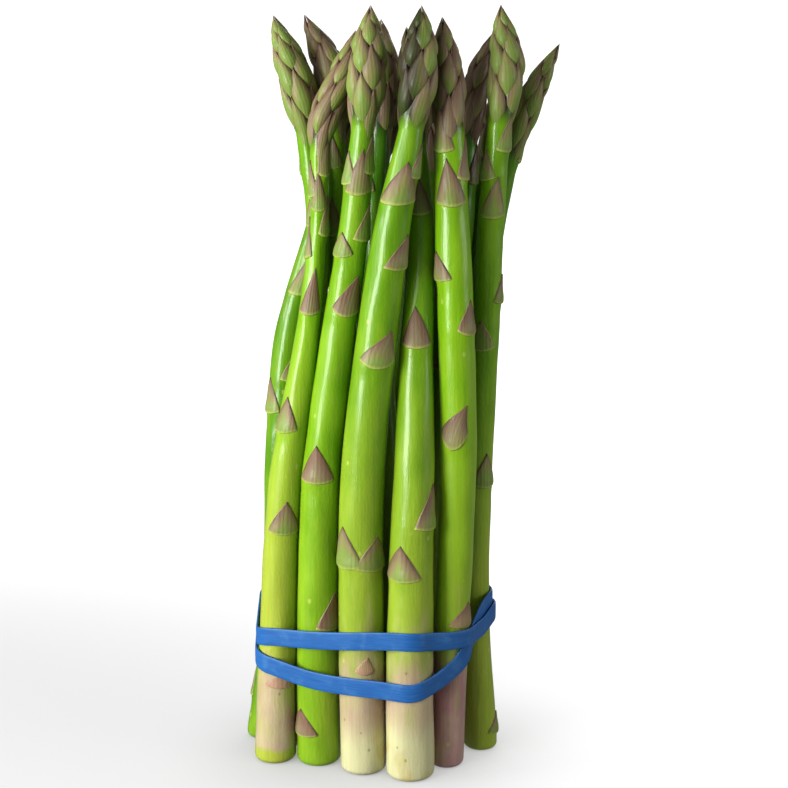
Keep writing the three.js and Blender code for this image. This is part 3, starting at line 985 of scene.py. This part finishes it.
@dataclass(frozen=True)
class HeadScales:
    """Makes the plump scales of a head, which tile it in a spiral.

    A scale's corners meet the feet of the scales 3 and 5 after it, and its tip that of the 8th.

    Attributes:
        count: scales of a head.
        turn: degrees from one scale to the next.
        bunching: how much closer they stand at the tip than at the neck.
        below_neck, below_tip: where the first and the last scale have their feet.
        half_span: degrees from a scale's middle to its side corners.
        tip_turn: degrees from its foot to its tip.
        widest: where it is widest, from foot (0) to tip (1).
        tuck: how deep its foot lies, as a share of the head's radius.
        proud: what its belly stands off the head's radius.
        fall: how far its margins fall away, as a share of the head's radius.
        flattening: how much less they fall away at its tip, as a share.
        sink, sink_from: how far its tip sinks, and from which share of its length.
        belly: share of its length where it stands proudest.
        inner: how far its inner side is from the middle line, as a share of the head's radius.
        tip_thickness, thin_from: its thickness at the tip, and from which share of its length it
            thins.
        least_thickness, closest: its thinnest anywhere, and its closest to the middle line.
        tip_over, overlap: which scale after it the tip lies over, and how much of the way to it.
        full_girth: radius of a head whose scales stand fully proud.
        start_step: degrees from one spear's first scale to the next spear's.
        turn_spread, foot_spread, mauve_spread: how far each scale may differ from its rule.
        veins: how close its veins lie.
        head_shadow_facing, head_shadow_width: middle and half width, in degrees, of the painted shadow
            on a head.
        rows, columns: points along and across its outer side.
    """

    count: int = 22
    turn: float = 137.5
    bunching: float = 0.42
    below_neck: float = 8.0
    below_tip: float = 5.5
    half_span: float = 43.0
    tip_turn: float = 20.0
    widest: float = 0.40
    tuck: float = 0.27
    proud: float = 0.42
    fall: float = 0.30
    flattening: float = 0.6
    sink: float = 0.55
    sink_from: float = 0.4
    belly: float = 0.42
    inner: float = 0.60
    tip_thickness: float = 0.45
    thin_from: float = 0.5
    least_thickness: float = 0.1
    closest: float = 0.08
    tip_over: int = 8
    overlap: float = 1.06
    full_girth: float = 4.5
    start_step: float = 50.0
    turn_spread: float = 4.0
    foot_spread: float = 0.35
    mauve_spread: float = 0.15
    veins: float = 24.0
    head_shadow_facing: float = -45.0
    head_shadow_width: float = 55.0
    rows: int = 22
    columns: int = 19

    def foot(self, spear: Spear, index: float) -> float:
        """Height of the foot of a scale, and of where one after the last would be.

        From the neck to the tip it rises as s + b s (1 - s), with b the bunching, and past the last
        scale in a straight line.

        Args:
            spear: whose head it is.
            index: number of the scale, from 0 at the neck.

        Returns:
            The height.
        """
        share = index / (self.count - 1)
        curved = min(share, 1.0)
        rise = curved + self.bunching * curved * (1 - curved)
        rise += (share - curved) * (1 - self.bunching)
        lowest = spear.neck_height - self.below_neck
        return lowest + rise * (spear.tip - self.below_tip - lowest)

    def build(self, spear: Spear) -> list[Tube]:
        """The closed surfaces of all the scales of a head, from the neck up."""
        draw = spear.random(Draw.HEAD_SCALES)
        return [self.scale(spear, index, draw) for index in range(self.count)]

    def width(self, along: Array) -> Array:
        """Half-width from foot to tip: it opens as a sine and closes as a cosine to a point."""
        closing = np.cos(pi / 2 * np.clip((along - self.widest) / (1 - self.widest), 0, 1))
        return closing * np.sin(pi / 2 * np.minimum(along / self.widest, 1) ** 0.75)

    def scale(self, spear: Spear, index: int, draw: np.random.Generator) -> Tube:
        """One plump kite.

        Along its middle line it rises from its tucked foot to its belly as a quarter sine, and sinks
        a little to its tip, which lies over the foot of the 8th scale after it. Across, it falls away
        to its margins as |u|^2.2, less towards the tip.

        Args:
            spear: whose scale it is.
            index: its number in the spiral, from 0 at the neck.
            draw: random numbers.

        Returns:
            The closed surface.
        """
        hand = 1 if spear.number % 2 else -1
        facing = (spear.number - 1) * self.start_step + hand * index * self.turn
        facing += draw.uniform(-self.turn_spread, self.turn_spread)
        rule = self.foot(spear, index)
        foot = rule + draw.uniform(-self.foot_spread, self.foot_spread)
        reach = self.overlap * (self.foot(spear, index + self.tip_over) - rule)
        top = min(foot + reach, spear.tip)
        along = np.linspace(0, 1, self.rows)[:, None]
        across, inner = there_and_back(np.sin(np.linspace(-pi / 2, pi / 2, self.columns)))
        width = self.width(along)
        angle = facing + across * width * self.half_span + hand * self.tip_turn * along
        height = foot + (top - foot) * along
        girth = spear.head_radius(height)
        size = np.minimum(girth / self.full_girth, 1)
        rise = np.sin(pi / 2 * np.minimum(along / self.belly, 1)) ** 0.8
        sunk = self.sink * smoothstep(self.sink_from, 1.0, along)
        middle = girth * (1 - self.tuck * (1 - rise)) + size * (self.proud * rise - sunk)
        outer = middle - self.fall * girth * (1 - self.flattening * along) * np.abs(across) ** 2.2
        thin = smoothstep(self.thin_from, 1.0, along)
        deep = self.inner * girth * (1 - thin) + thin * (outer - self.tip_thickness)
        radius = np.where(inner, np.minimum(deep, outer - self.least_thickness), outer)
        rings = spear.point(height, angle, np.maximum(radius, self.closest))
        # Painted shadow: scales on the left of the head are darkened as if the next head shaded them.
        painted_head_shadow = spear.painted_head_shadow * bell(angle_between(angle, self.head_shadow_facing), 0.0, self.head_shadow_width)
        fields = spear.tints(height) | {
            Field.SCALE: 1.0,
            Field.ALONG: along,
            Field.ACROSS: np.abs(across),
            Field.GRAIN: across * width * self.veins,
            Field.MAUVE: spear.mauve + draw.uniform(-self.mauve_spread, self.mauve_spread),
            Field.TONE_AND_SHADE: spear.tone - painted_head_shadow,
        }
        return Tube(rings, fields)


def bracts(*rows: tuple[float, ...]) -> tuple[Bract, ...]:
    """Scales of a stem from rows of height, facing, length and then what is unusual about them."""
    return tuple(Bract(*row) for row in rows)


SPEARS = (
    Spear(  # front left
        number=1,
        x=(-37, -35.6, -32.7, -26.4, -22.3, -20.9, -14.6, -8.8),
        y=(18.8, 20.2, 20.4, 20.6, 21.7, 23, 24.4, 25),
        girth=(6.5, 5.6, 4.9, 3.0, 2.6), neck=2.8, head=4.7, tip=223,
        bracts=bracts((25.7, 25, 4.4), (74.5, 12, 9), (106, -40, 10), (141.5, 0, 12.5, 0, 1.0),
                      (158, -80, 11), (164.5, 62, 11), (172, 0, 10.5), (176, -62, 10), (182, 46, 12)),
        blush_top=20, rim_top=5, violet=0.15, mauve=0.5, tone=1.0, ripe=0.95,
    ),
    Spear(  # front, second from the left
        number=2,
        x=(-23.4, -23.4, -22, -17.2, -11.9, -9.1, -7.6, -6.6),
        y=(17.2, 17, 17, 17, 16.3, 15.6, 15, 15),
        girth=(6.8, 6.2, 5.6, 4.8, 4.2), neck=3.2, head=5.5, tip=230.3,
        bracts=bracts((10.6, -56, 7.4, 0, 1.0), (45, 55, 11, 0, 1.0),
                      (91.5, -16, 11, -8, 0.9), (143.5, 22, 10, 22, 0.9, 58, 2.6),
                      (159.5, -48, 6.5), (164, 60, 10), (177.6, 4, 12.4, 12, 0.6),
                      (180.5, -66, 9), (183.5, 60, 10.5, 10)),
        blush_top=0, mauve=0.2, tone=0.75, ripe=0.2,
    ),
    Spear(  # front, third from the left
        number=3,
        x=(-9.4, -9.9, -9.5, -5.7, -0.9, 4.7, 7.1, 7.7),
        y=(10.8, 11.8, 12, 12, 12, 12, 12, 12),
        girth=(7.0, 6.9, 6.5, 5.7, 5.0), neck=3.5, head=5.4, tip=230.4,
        bracts=bracts((33.8, 8, 4.2, 10, -1, 24), (66.5, -52, 11.5), (66, 42, 10),
                      (129.5, 14, 8.5, 32, 0.5, 58, 2.8), (156.5, 50, 9, 14, 0.6),
                      (175.4, 5, 11.6, 10, 0.55, 80),
                      (182.5, 76, 9)),
        blush_top=34, pale_top=15, violet=0.1, mauve=0.25, tone=0.55, ripe=0.62, painted_head_shadow=1.6,
    ),
    Spear(  # front-most, leaning back behind its neighbours
        number=4,
        x=(5, 4.8, 5.8, 6.7, 7.6, 6.2, 4.8, 3),
        y=(6.5, 7.9, 10.3, 14.8, 21.5, 25.8, 26.6, 27),
        girth=(7.4, 7.0, 5.9, 4.3, 3.8), neck=3.0, head=4.3, tip=224,
        bracts=bracts((63.6, -33, 10.2), (79, 62, 12.5), (133, -3, 11.5, -10, 0.95), (171, 0, 10)),
        blush_top=34, pale_top=20, violet=0.2, mauve=0.6, tone=0.65, ripe=0.62,
    ),
    Spear(  # front, second from the right
        number=5,
        x=(16.2, 17.6, 19.1, 18.6, 17, 16.2, 15.2, 13.4),
        y=(14.4, 14.8, 15, 15, 16, 18.2, 19, 19),
        girth=(5.3, 5.3, 5.5, 5.3, 4.9), neck=4.2, head=4.8, tip=227,
        bracts=bracts((46.6, 45, 6.8, 12), (106.5, -18, 8.2, 42, 0.7, 47, 5.2),
                      (137.4, 45, 8.6, 15, 0.8, 44, 1.8), (152.5, -66, 7.6), (174.4, -3, 12.8, -12),
                      (181.5, 76, 12), (189.6, -46, 12)),
        blush_top=30, violet=0.85, mauve=0.65, tone=1.0, ripe=0.4, painted_head_shadow=1.3,
    ),
    Spear(  # right
        number=6,
        x=(27.4, 25, 25.5, 27.2, 28.6, 30.8, 32.7, 30.8),
        y=(27.6, 28.8, 28.8, 27.6, 26.3, 25, 25, 25),
        girth=(5.4, 4.8, 4.6, 4.2, 3.8), neck=3.5, head=5.1, tip=230.2,
        bracts=bracts((6, 84, 5.6), (86.5, 35, 10), (129.5, -20, 8), (143.5, 82, 8),
                      (169.4, 0, 11, 8), (180.5, -58, 8.5), (188.8, 48, 9.4)),
        blush_top=0, mauve=0.25, tone=0.75, ripe=0.65,
    ),
    Spear(  # left rear
        number=7,
        x=(-42, -36.5, -35.6, -32.4, -22.6, -15, -12.8, -12),
        y=(36.4, 37.8, 38.8, 41, 43.4, 46, 47, 47),
        girth=(5.26, 5.0, 4.6, 4.1, 3.9), neck=3.3, head=4.6, tip=213,
        bracts=bracts((14, -120, 9), (62, -170, 10), (107, -60, 10), (117, 46, 9), (143.8, 8, 13),
                      (168, 170, 10)),
        blush_top=0, mauve=0.4, tone=0.4, ripe=0.1,
    ),
    Spear(  # middle row, its head leaning out to the left
        number=8,
        x=(-29.3, -27.6, -26.2, -24.8, -22.8, -26.2, -29.6, -36.2),
        y=(31, 31.4, 31.4, 30.4, 29.4, 29.6, 30, 30),
        girth=(5.7, 5.3, 4.8, 3.7, 3.2), neck=3.0, head=5.3, tip=227,
        bracts=bracts((38, -110, 9), (88, -60, 10), (132, 160, 9), (166, -10, 10), (181, -140, 10)),
        blush_top=14, mauve=0.15, tone=0.7, ripe=0.3,
    ),
    Spear(  # middle row, its head leaning a little to the left
        number=9,
        x=(-16.2, -15, -14.8, -15.3, -17.2, -17.6, -19, -28),
        y=(29.8, 29.8, 30.6, 32.2, 34.6, 35.4, 36.2, 36.6),
        girth=(5.7, 5.3, 4.8, 3.6, 3.0), neck=2.9, head=5.6, tip=227,
        bracts=bracts((55, 150, 9), (110, 30, 10), (156.5, 40, 8), (163, -20, 11), (183, -15, 9)),
        blush_top=24, mauve=0.5, tone=0.9,
    ),
    Spear(  # middle row, upright
        number=10,
        x=(-2.6, -2.8, -3.6, -5, -5.8, -4.2, -3, -4.2),
        y=(25.9, 26.2, 27.2, 29.4, 31.6, 33.4, 34, 34),
        girth=(5.8, 5.5, 5.0, 4.3, 3.9), neck=3.3, head=4.7, tip=226,
        bracts=bracts((60, 120, 9), (120, -20, 10), (150, 100, 10), (176, -60, 10)),
        # Its tone is low as painted shade, since it stands hidden in the bunch.
        blush_top=20, mauve=0.6, tone=0.15,
    ),
    Spear(  # middle row, leaning right behind the pair on the right
        number=11,
        x=(10.9, 11.5, 13.2, 15.4, 19.8, 22.2, 26, 33),
        y=(27.8, 28.5, 31, 34, 36, 36.6, 37, 37),
        girth=(5.5, 5.2, 5.0, 4.6, 4.0), neck=3.3, head=4.4, tip=222.5,
        bracts=bracts((58, 170, 9), (122, 20, 10), (152, 150, 10), (178, 66, 10.5)),
        # Its tone is low as painted shade, since it stands hidden in the bunch.
        blush_top=20, mauve=0.8, tone=-0.1,
    ),
    Spear(  # right rear, its head leaning far out to the right
        number=12,
        x=(20.5, 21.6, 23.6, 26.4, 30, 37.8, 45.2, 56.4),
        y=(40, 39.5, 38.5, 38, 37.6, 37.6, 37.8, 38),
        girth=(5.3, 5.0, 4.6, 3.9, 3.5), neck=3.0, head=4.3, tip=218.6,
        bracts=bracts((24, 130, 9), (70, 100, 10), (112, 165, 10), (148, 80, 10), (172, -170, 10),
                      (184, 100, 9)),
        blush_top=10, mauve=0.25, tone=0.45,
    ),
    Spear(  # rear left
        number=13,
        x=(-28.4, -26.8, -23, -15.5, -8.4, -2.2, -0.2, 0),
        y=(43.6, 44.2, 45.2, 46, 46.8, 47.9, 48.3, 48.3),
        girth=(5.5, 5.2, 4.7, 4.1, 3.7), neck=3.2, head=4.46, tip=215,
        bracts=bracts((20, -150, 10), (66, 150, 10), (104, -160, 11), (138, 175, 11), (166, 130, 10)),
        blush_top=26, violet=0.3, mauve=0.6, tone=0.65,
    ),
    Spear(  # rear middle
        number=14,
        x=(-13.4, -10.5, -3.6, 5.2, 10.3, 11.2, 11.6, 12),
        y=(43, 43.2, 43.8, 44.4, 45, 45.2, 45.4, 45.4),
        girth=(5.6, 5.5, 5.4, 5.5, 4.8), neck=3.6, head=4.6, tip=213.5,
        bracts=bracts((20, 170, 9), (84, -150, 10), (118, 165, 11), (154, -165, 11), (174, 140, 10)),
        blush_top=30, pale_top=14, mauve=0.75, tone=0.65,
    ),
    Spear(  # rear right
        number=15,
        x=(4.4, 6.6, 13, 20.2, 26, 31.8, 34.8, 35.4),
        y=(40, 40.6, 43.4, 45.8, 46.4, 47.2, 47.6, 47.6),
        girth=(5.6, 5.3, 4.8, 4.4, 4.1), neck=3.7, head=4.8, tip=214,
        bracts=bracts((16, 165, 9), (60, -165, 10), (98, 155, 11), (132, -170, 10), (162, 160, 10)),
        blush_top=0, mauve=0.5, tone=0.7,
    ),
)


@dataclass
class Bunch:
    """The fifteen spears."""

    stem: Stem = Stem()
    stem_scales: StemScales = StemScales()
    head_scales: HeadScales = HeadScales()

    def build(self, skin: bpy.types.Material) -> list[bpy.types.Object]:
        """Makes each spear as one piece that stands for its node.

        Args:
            skin: the material of every spear.

        Returns:
            The pieces.
        """
        pieces = []
        for spear in SPEARS:
            scales = self.stem_scales.build(spear) + self.head_scales.build(spear)
            tubes = [self.stem.build(spear), *scales]
            piece = make_piece(f"{spear.node}_grown", tubes, list(Field))
            piece.data.materials.append(skin)
            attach(piece, "root")
            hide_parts(spear.node)
            pieces.append(piece)
        return pieces


# --- band ---


@dataclass(frozen=True)
class Band:
    """The rubber band: one closed loop wound twice round the bunch, in millimetres.

    Attributes:
        width, thickness: of the strip.
        clearance: gap that it keeps to the stems' skin.
        steps: points along its middle line.
        directions: how many ways round the bunch the outline is taken.
        section: points round its section.
        squareness: power of the section's rounded oblong.
        side_shift: how far the streaks move on through its thickness, as a multiple of it.
        climb: height of its middle line. Each stop is (turns run so far, height); a turn starts at the
            left, runs along the front, round the right side and back along the rear.
        cross_from, cross_to: between these turns it lies outside its own other turn.
        cross_ramp, cross_lift: turns over which it moves out and back in, and how far.
    """

    width: float = 5.6
    thickness: float = 0.8
    clearance: float = 0.24
    steps: int = 620
    directions: int = 720
    section: int = 28
    squareness: float = 5.0
    side_shift: float = 3.0
    climb: tuple[tuple[float, float], ...] = (
        (0.0, 37.0), (0.085, 34.2), (0.125, 32.4), (0.2, 29.4), (0.3, 29.0), (0.365, 29.2),
        (0.437, 34.4), (0.465, 40.8), (0.5, 46.4), (0.53, 48.6), (0.58, 49.2), (0.64, 49.4),
        (0.75, 49.8), (0.9, 47.8), (1.0, 44.6), (1.085, 40.4), (1.125, 41.4), (1.2, 42.2),
        (1.345, 44.8), (1.43, 42.9), (1.5, 43.0), (1.55, 45.0), (1.62, 43.2), (1.7, 41.2),
        (1.85, 39.2),
    )
    cross_from: float = 1.385
    cross_to: float = 1.7
    cross_ramp: float = 0.05
    cross_lift: float = 0.95

    def heights(self, turns: Array) -> Array:
        """Height of the middle line after some turns; it closes on itself after two."""
        stops = [(at + lap, height) for lap in (-2, 0, 2) for at, height in self.climb]
        return smooth_value(tuple(s[0] for s in stops), tuple(s[1] for s in stops), turns)

    def lift(self, turns: Array) -> Array:
        """How far it stands off its other turn: a rise, a level and a fall where it crosses over.

        Args:
            turns: turns run so far.

        Returns:
            The distance after each.
        """
        start, end, ramp = self.cross_from, self.cross_to, self.cross_ramp
        rise = smoothstep(start, start + ramp, turns)
        return self.cross_lift * (rise - smoothstep(end - ramp, end, turns))

    def outlines(self, heights: Array, away: Array) -> Array:
        """Outlines that a stretched belt takes round the stems: in each direction the furthest spear.

        Args:
            heights: where the stems are cut.
            away: distance kept from their skin at each height.

        Returns:
            Points round the bunch for each height, from the left over the front and the right.
        """
        middles = np.stack([spear.point(heights, 0, 0)[:, :2] for spear in SPEARS], axis=1)
        reaches = np.stack([spear.stem_radius(heights) for spear in SPEARS], axis=1) + away[:, None]
        angles = pi + np.linspace(0, 2 * pi, self.directions + 1)
        out = np.stack([np.cos(angles), np.sin(angles)])
        furthest = np.argmax(middles @ out + reaches[..., None], axis=1)
        reach = np.take_along_axis(reaches, furthest, axis=1)
        return np.take_along_axis(middles, furthest[..., None], axis=1) + out.T * reach[..., None]

    def line(self) -> tuple[Array, Array]:
        """The band's middle line, two turns round the bunch.

        Each point lies on the outline at its own height, as far round it as the turn has run.

        Returns:
            Its points, and the length run up to each.
        """
        turns = np.linspace(0, 2, self.steps, endpoint=False)
        heights = self.heights(turns)
        outlines = self.outlines(heights, self.clearance + self.thickness / 2 + self.lift(turns))
        lengths = np.linalg.norm(np.diff(outlines, axis=1), axis=2)
        runs = np.pad(np.cumsum(lengths, axis=1), ((0, 0), (1, 0)))
        wanted = (turns % 1) * runs[:, -1]
        each, corner = np.arange(self.steps), np.sum(runs <= wanted[:, None], axis=1) - 1
        share = ((wanted - runs[each, corner]) / lengths[each, corner])[:, None]
        places = (1 - share) * outlines[each, corner] + share * outlines[each, corner + 1]
        line = np.column_stack([places, heights])
        steps = np.linalg.norm(np.diff(line, axis=0, append=line[:1]), axis=1)
        return line, np.concatenate([[0], np.cumsum(steps)[:-1]])

    def squared(self, wave: Array) -> Array:
        """Wave with a squarer shape and its own sign: |wave|^(2 / squareness)."""
        return np.sign(wave) * np.abs(wave) ** (2 / self.squareness)

    def build(self, rubber: bpy.types.Material) -> bpy.types.Object:
        """Carries a flat oblong section with rounded edges along the line, its flat side on the stems.

        The section is |x / a|^n + |y / b|^n = 1, with n the squareness.

        Args:
            rubber: its material.

        Returns:
            The piece.
        """
        line, run = self.line()
        along = np.roll(line, -1, axis=0) - np.roll(line, 1, axis=0)
        along /= np.linalg.norm(along, axis=1)[:, None]
        out = np.cross(along, [0, 0, 1.0])
        out /= np.linalg.norm(out, axis=1)[:, None]
        upward = np.cross(out, along)
        turn = np.linspace(0, 2 * pi, self.section, endpoint=False)
        wide = self.squared(np.sin(turn)) * self.width / 2
        thick = self.squared(np.cos(turn)) * self.thickness / 2
        rings = line[:, None] + out[:, None] * thick[:, None] + upward[:, None] * wide[:, None]
        fields = {Field.ALONG: run[:, None], Field.ACROSS: wide + self.side_shift * thick}
        piece = make_piece("rubber_band_wound", [Tube(rings, fields, looped=True)], list(fields))
        piece.data.materials.append(rubber)
        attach(piece, "root")
        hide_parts("rubber_band")
        return piece


# --- studio ---


@dataclass(frozen=True)
class SoftBox:
    """A square area light that looks at the bunch.

    Attributes:
        name: its name.
        place, aim: where it stands and what it looks at, in metres.
        size: length of its side, in metres.
        power: in watts.
    """

    name: str
    place: Point
    size: float
    power: float
    aim: Point = (0.0, 0.0, 0.12)

    def build(self) -> None:
        """Puts the light in the scene."""
        data = bpy.data.lights.new(self.name, "AREA")
        data.shape, data.size, data.energy = "SQUARE", self.size, self.power
        light = add_object(self.name, data)
        light.location = self.place
        towards = Vector(self.aim) - Vector(self.place)
        light.rotation_euler = towards.to_track_quat("-Z", "Y").to_euler()


@dataclass(frozen=True)
class Studio:
    """White floor and walls, soft lights and the camera, in metres.

    Attributes:
        camera_away, camera_height: how far the camera is before the bunch's front, and how high.
        camera_pitch: degrees that it looks down.
        focal_pixels, view_pixels: its focal length and the width of its view, in pixels.
        sensor: width of its sensor, in millimetres.
        floor_size, wall_away: side of the floor, and how far the walls are.
        sky: strength of the light from all round.
        gamma: how the view's brightness is curved.
        boxes: the lights.
    """

    camera_away: float = 0.525
    camera_height: float = 0.245
    camera_pitch: float = 13.3
    focal_pixels: float = 1873.0
    view_pixels: float = 788.0
    sensor: float = 36.0
    floor_size: float = 120.0
    wall_away: float = 12.0
    sky: float = 0.23
    gamma: float = 0.9
    boxes: tuple[SoftBox, ...] = (
        SoftBox("key", (-1.22, -0.25, 0.50), 0.45, 9.0),
        SoftBox("front", (-0.70, -0.95, 0.55), 0.60, 4.4),
        SoftBox("glint", (-0.36, -0.31, 0.15), 0.18, 2.2),
        SoftBox("rim", (0.90, -0.20, 0.30), 0.50, 3.0),
        SoftBox("back", (0.35, 1.15, 0.60), 0.70, 5.0),
    )

    def build(self) -> None:
        """Puts the camera, the lights, the sky, the floor and the walls in the scene."""
        self.make_camera()
        for box in self.boxes:
            box.build()
        self.make_sky()
        self.make_floor()
        self.make_backdrop()
        view = bpy.context.scene.view_settings
        view.view_transform, view.gamma = "Standard", self.gamma

    def make_camera(self) -> None:
        """Stands the camera in front of the bunch, at about the height of the tips, looking down."""
        data = bpy.data.cameras.new("camera")
        data.sensor_width = self.sensor
        data.lens = self.sensor * (self.focal_pixels / self.view_pixels)
        camera = add_object("camera", data)
        middle = [value * METRES for value in BUNCH_MIDDLE]
        camera.location = (-middle[0], -self.camera_away - middle[1], self.camera_height)
        camera.rotation_euler = (radians(90 - self.camera_pitch), 0, 0)
        bpy.context.scene.camera = camera

    def make_sky(self) -> None:
        """Even white light from all round."""
        world = bpy.data.worlds.new("sky")
        world.use_nodes = True
        world.node_tree.nodes["Background"].inputs["Color"].default_value = (1, 1, 1, 1)
        world.node_tree.nodes["Background"].inputs["Strength"].default_value = self.sky
        bpy.context.scene.world = world

    def make_floor(self) -> None:
        """Lays a wide flat floor of white paper on the ground."""
        half = self.floor_size / 2
        corners = [(-half, -half, 0), (half, -half, 0), (half, half, 0), (-half, half, 0)]
        self.put_paper("floor", corners, [(0, 1, 2, 3)])

    def make_backdrop(self) -> None:
        """Stands four white walls on the floor, which cast no shadow."""
        half = top = self.wall_away
        rim = [(-half, -half), (half, -half), (half, half), (-half, half)]
        corners = [(x, y, z) for z in (0.0, top) for x, y in rim]
        walls = [(i, i + 4, (i + 1) % 4 + 4, (i + 1) % 4) for i in range(4)]
        self.put_paper("backdrop", corners, walls).visible_shadow = False

    def put_paper(
        self, name: str, corners: list[Point], faces: list[tuple[int, ...]]
    ) -> bpy.types.Object:
        """Puts white paper in the scene, whose glow lights nothing and shows in no reflection.

        Args:
            name: its name.
            corners: its corners, in metres.
            faces: the corners of each sheet, by number.

        Returns:
            The paper.
        """
        mesh = bpy.data.meshes.new(name)
        mesh.from_pydata(corners, [], faces)
        mesh.materials.append(PaperFloor(f"{name}_paper").build())
        paper = add_object(name, mesh)
        paper.visible_diffuse = paper.visible_glossy = False
        return paper


def main() -> None:
    """Builds the studio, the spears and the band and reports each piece."""
    logging.basicConfig(level=logging.INFO, format="%(message)s")
    Studio().build()
    spears = Bunch().build(SpearSkin().build())
    band = Band().build(BandRubber().build())
    for piece in [*spears, band]:
        log.info("%s: %d faces", piece.name, len(piece.data.polygons))


if __name__ == "__main__":
    main()
